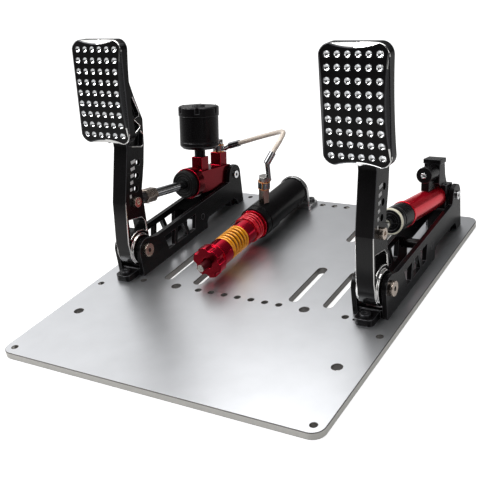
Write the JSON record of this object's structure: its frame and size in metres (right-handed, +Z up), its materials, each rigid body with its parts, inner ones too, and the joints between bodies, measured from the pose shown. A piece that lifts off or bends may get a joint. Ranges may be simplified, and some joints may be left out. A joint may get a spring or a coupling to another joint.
{
  "type": "sim racing pedal set",
  "caption": "Brake and throttle pedals with curved dimpled pads on a slotted metal base plate, with a hydraulic master cylinder, a hose, a spring-loaded pressure unit and a throttle damper.",
  "frame": {"origin": "under the middle of the base plate, on the surface that the set stands on", "axes": "+X to the driver's right, +Y away from the driver, +Z up"},
  "size_m": [0.401, 0.468, 0.3029],
  "materials": {
    "blasted_silver": "bead-blasted",
    "black_anodised": "satin anodised, edges machined bright",
    "red_anodised": "satin anodised",
    "dark_steel": "blackened",
    "bright_steel": "fine turned",
    "warm_steel": "passivated",
    "chrome": "polished",
    "bronze": "machined",
    "copper": "soft annealed",
    "black_rubber": "matte",
    "black_plastic": "fine-grained",
    "cream_polymer": "smooth",
    "yellow_spring": "powder-coated",
    "red_spring": "powder-coated",
    "spring_steel": "plain wire",
    "braided_hose": "clear cover over fine braid"
  },
  "bodies": {
    "frame": {"base_plate": "blasted_silver", "brake_side_outer": "black_anodised", "brake_side_inner": "black_anodised", "throttle_side_inner": "black_anodised", "throttle_side_outer": "black_anodised", "front_blocks": "black_anodised", "rear_blocks": "black_anodised", "cross_bars": "black_anodised", "plate_screws": "dark_steel", "pivot_shafts": "warm_steel", "rear_pins": "bright_steel", "unit_body": "black_anodised", "unit_collar": "black_anodised", "unit_bracket": "bright_steel", "threaded_rod": "dark_steel", "front_sleeve": "red_anodised", "front_spring": "yellow_spring", "bleed_nipple": "bronze", "port_adaptor": "dark_steel", "port_washers": "copper", "port_banjo_bolt": "chrome", "port_hose_end": "chrome", "hose": "braided_hose"},
    "brake_pedal": {"brake_arm": "black_anodised", "brake_pad": "black_anodised", "brake_pad_screws": "dark_steel", "brake_pivot_bushes": "bronze", "brake_clevis_bolt": "warm_steel"},
    "throttle_pedal": {"throttle_arm": "black_anodised", "throttle_pad": "black_anodised", "throttle_pad_screws": "dark_steel", "throttle_pivot_bushes": "bronze", "throttle_clevis_bolt": "warm_steel"},
    "master_cylinder": {"master_body": "red_anodised", "master_boot": "black_rubber", "master_spring": "spring_steel", "reservoir_body": "black_plastic", "reservoir_cap": "black_plastic", "reservoir_diaphragm": "black_rubber", "master_banjo_bolt": "chrome", "master_washers": "copper", "master_hose_end": "chrome"},
    "brake_rod": {"brake_rod_end": "dark_steel", "brake_lock_nut": "bronze", "brake_pushrod": "bright_steel", "master_piston": "bright_steel"},
    "damper": {"damper_gland": "black_anodised", "bumper_ring": "cream_polymer", "damper_tube": "red_anodised", "damper_spring": "spring_steel", "damper_rear_block": "black_anodised", "sensor_housing": "black_plastic", "sensor_cap": "black_plastic", "sensor_screw": "chrome"},
    "throttle_rod": {"throttle_rod_end": "dark_steel", "damper_rod": "bright_steel"},
    "slave_piston": {"unit_piston": "red_anodised"},
    "spacer": {"spring_spacer": "red_anodised", "rear_spring": "red_spring"},
    "knob": {"preload_knob": "red_anodised"}
  },
  "joints": [
    {"name": "brake_pedal_hinge", "type": "hinge", "parent": "frame", "child": "brake_pedal", "pos_m": [-0.1635, -0.021, 0.039], "axis": [-1, 0, 0], "range_deg": [0, 8], "stiffness_Nm_per_rad": 250, "springref_deg": -1.15},
    {"name": "master_cylinder_swing", "type": "hinge", "parent": "frame", "child": "master_cylinder", "pos_m": [-0.1635, 0.198, 0.054], "axis": [-1, 0, 0], "range_deg": [0, 0.2]},
    {"name": "brake_rod_slide", "type": "slide", "parent": "master_cylinder", "child": "brake_rod", "axis": [0, 0.9766, -0.2151], "range_m": [0, 0.0088], "deforming": ["master_spring"]},
    {"name": "throttle_pedal_hinge", "type": "hinge", "parent": "frame", "child": "throttle_pedal", "pos_m": [0.1635, -0.021, 0.039], "axis": [-1, 0, 0], "range_deg": [0, 18], "stiffness_Nm_per_rad": 18, "springref_deg": -5.73},
    {"name": "damper_swing", "type": "hinge", "parent": "frame", "child": "damper", "pos_m": [0.1635, 0.198, 0.054], "axis": [-1, 0, 0], "range_deg": [0, 0.3]},
    {"name": "throttle_rod_slide", "type": "slide", "parent": "damper", "child": "throttle_rod", "axis": [0, 0.977, -0.2132], "range_m": [0, 0.0196], "deforming": ["damper_spring"]},
    {"name": "slave_piston_slide", "type": "slide", "parent": "frame", "child": "slave_piston", "axis": [0, -1, 0], "range_m": [0, 0.0062], "deforming": ["rear_spring"]},
    {"name": "spacer_slide", "type": "slide", "parent": "frame", "child": "spacer", "axis": [0, -1, 0], "range_m": [0, 0.0031], "deforming": ["front_spring"]},
    {"name": "preload_knob_turn", "type": "hinge", "parent": "frame", "child": "knob", "pos_m": [-0.052, -0.0165, 0.034], "axis": [0, 1, 0], "range_deg": [-180, 180]}
  ],
  "couplings": [
    {"joint": "master_cylinder_swing", "follows": "brake_pedal_hinge", "ratio": 0.0125},
    {"joint": "brake_rod_slide", "follows": "brake_pedal_hinge", "m_per_rad": 0.0621},
    {"joint": "slave_piston_slide", "follows": "brake_pedal_hinge", "m_per_rad": 0.043},
    {"joint": "spacer_slide", "follows": "brake_pedal_hinge", "m_per_rad": 0.0215},
    {"joint": "damper_swing", "follows": "throttle_pedal_hinge", "ratio": 0.008},
    {"joint": "throttle_rod_slide", "follows": "throttle_pedal_hinge", "m_per_rad": 0.0618}
  ]
}
